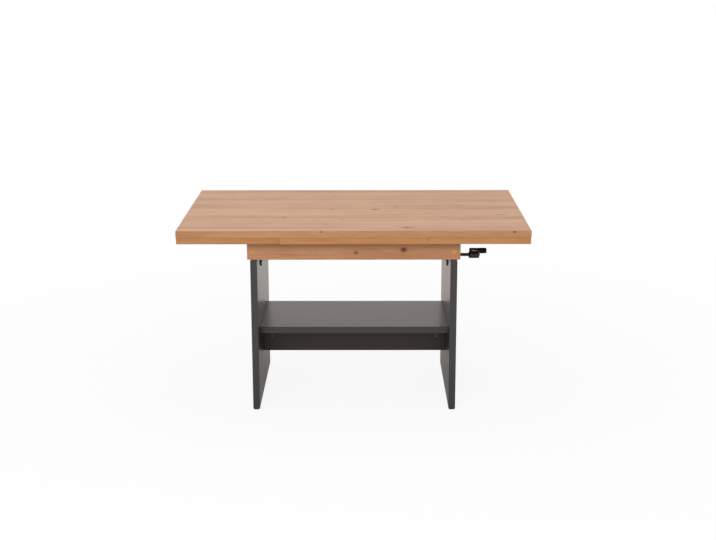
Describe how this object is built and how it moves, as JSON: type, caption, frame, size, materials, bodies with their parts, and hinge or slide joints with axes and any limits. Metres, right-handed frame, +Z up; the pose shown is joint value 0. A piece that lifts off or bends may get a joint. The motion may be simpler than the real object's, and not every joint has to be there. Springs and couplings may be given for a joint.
{
  "type": "extending coffee table",
  "caption": "Coffee table with a two-layer oak-look top, pull-out leaves under the slab, a crank-driven scissor lift, dark side panels and a low shelf.",
  "frame": {"origin": "centre of the table's footprint on the floor", "axes": "+X along the top towards the crank end, -Y towards the front, +Z up"},
  "size_m": [1.1, 0.68, 0.622],
  "materials": {
    "oak": "satin oak-look laminate",
    "anthracite": "satin anthracite laminate",
    "beech": "planed",
    "black_steel": "black powder coat",
    "zinc_steel": "zinc plated",
    "blackened_steel": "blackened",
    "black_plastic": "moulded, satin",
    "nylon": "natural nylon",
    "rubber": "matt",
    "cap_plastic": "oak-coloured, satin"
  },
  "bodies": {
    "base": {"left_panel": "anthracite", "right_panel": "anthracite", "shelf": "anthracite", "shelf_rail": "anthracite", "cam_locks": "blackened_steel", "cam_bolts": "zinc_steel", "dowels": "beech", "floor_glides": "black_plastic", "rest_buffers": "rubber", "left_front_bracket": "black_steel", "left_rear_bracket": "black_steel", "right_front_bracket": "black_steel", "right_rear_bracket": "black_steel", "lower_pivot_blocks": "nylon", "bracket_screws": "zinc_steel", "spindle_bush": "black_plastic", "bearing_plate": "black_steel"},
    "lifted_frame": {"top_slab": "oak", "centre_board": "oak", "underside_screws": "zinc_steel", "front_apron": "oak", "rear_apron": "oak", "left_apron_end": "oak", "right_apron_end": "oak", "corner_blocks": "beech", "apron_screws": "zinc_steel", "screw_caps": "cap_plastic", "front_lift_rail": "black_steel", "rear_lift_rail": "black_steel", "upper_pivot_blocks": "nylon", "right_runner_guides": "black_plastic", "left_runner_guides": "black_plastic"},
    "right_leaf_set": {"right_leaf": "oak", "right_front_runner": "beech", "right_rear_runner": "beech", "right_runner_screws": "zinc_steel", "right_runner_stops": "beech"},
    "left_leaf_set": {"left_leaf": "oak", "left_front_runner": "beech", "left_rear_runner": "beech", "left_runner_screws": "zinc_steel", "left_runner_stops": "beech"},
    "outer_arms": {"front_outer_arm": "black_steel", "rear_outer_arm": "black_steel", "crossing_rivets": "zinc_steel", "crossing_washers": "zinc_steel", "outer_sliders": "nylon", "outer_pivot_rod": "zinc_steel", "outer_slider_rod": "zinc_steel"},
    "inner_arms": {"front_inner_arm": "black_steel", "rear_inner_arm": "black_steel", "inner_sliders": "nylon", "inner_pivot_rod": "zinc_steel", "inner_slider_rod": "zinc_steel"},
    "drive": {"spindle": "blackened_steel", "crank": "black_plastic", "crank_pin": "blackened_steel"},
    "nut": {"spindle_nut": "blackened_steel"},
    "grip": {"crank_grip": "black_plastic"}
  },
  "joints": [
    {"name": "lift", "type": "slide", "parent": "base", "child": "lifted_frame", "axis": [0, 0, 1], "range_m": [0, 0.15]},
    {"name": "right_leaf_pull", "type": "slide", "parent": "lifted_frame", "child": "right_leaf_set", "axis": [1, 0, 0], "range_m": [0, 0.3]},
    {"name": "left_leaf_pull", "type": "slide", "parent": "lifted_frame", "child": "left_leaf_set", "axis": [-1, 0, 0], "range_m": [0, 0.3]},
    {"name": "outer_arm_swing", "type": "hinge", "parent": "base", "child": "outer_arms", "pos_m": [-0.28, 0, 0.488], "axis": [0, -1, 0], "range_deg": [0, 16.06]},
    {"name": "inner_arm_swing", "type": "hinge", "parent": "lifted_frame", "child": "inner_arms", "pos_m": [-0.28, 0, 0.5678], "axis": [0, 1, 0], "range_deg": [0, 16.06]},
    {"name": "spindle_turn", "type": "hinge", "parent": "base", "child": "drive", "pos_m": [0.33, 0, 0.4655], "axis": [-1, 0, 0], "range_deg": [0, 3110]},
    {"name": "nut_travel", "type": "slide", "parent": "base", "child": "nut", "axis": [-1, 0, 0], "range_m": [0, 0.04362]},
    {"name": "grip_spin", "type": "hinge", "parent": "drive", "child": "grip", "pos_m": [0.417, 0.058, 0.4655], "axis": [1, 0, 0], "continuous": true}
  ],
  "couplings": [
    {"joint": "outer_arm_swing", "follows": "lift", "rad_per_m": 1.8454},
    {"joint": "inner_arm_swing", "follows": "lift", "rad_per_m": 1.8454},
    {"joint": "spindle_turn", "follows": "lift", "rad_per_m": 361.28},
    {"joint": "nut_travel", "follows": "lift", "ratio": 0.2875}
  ]
}
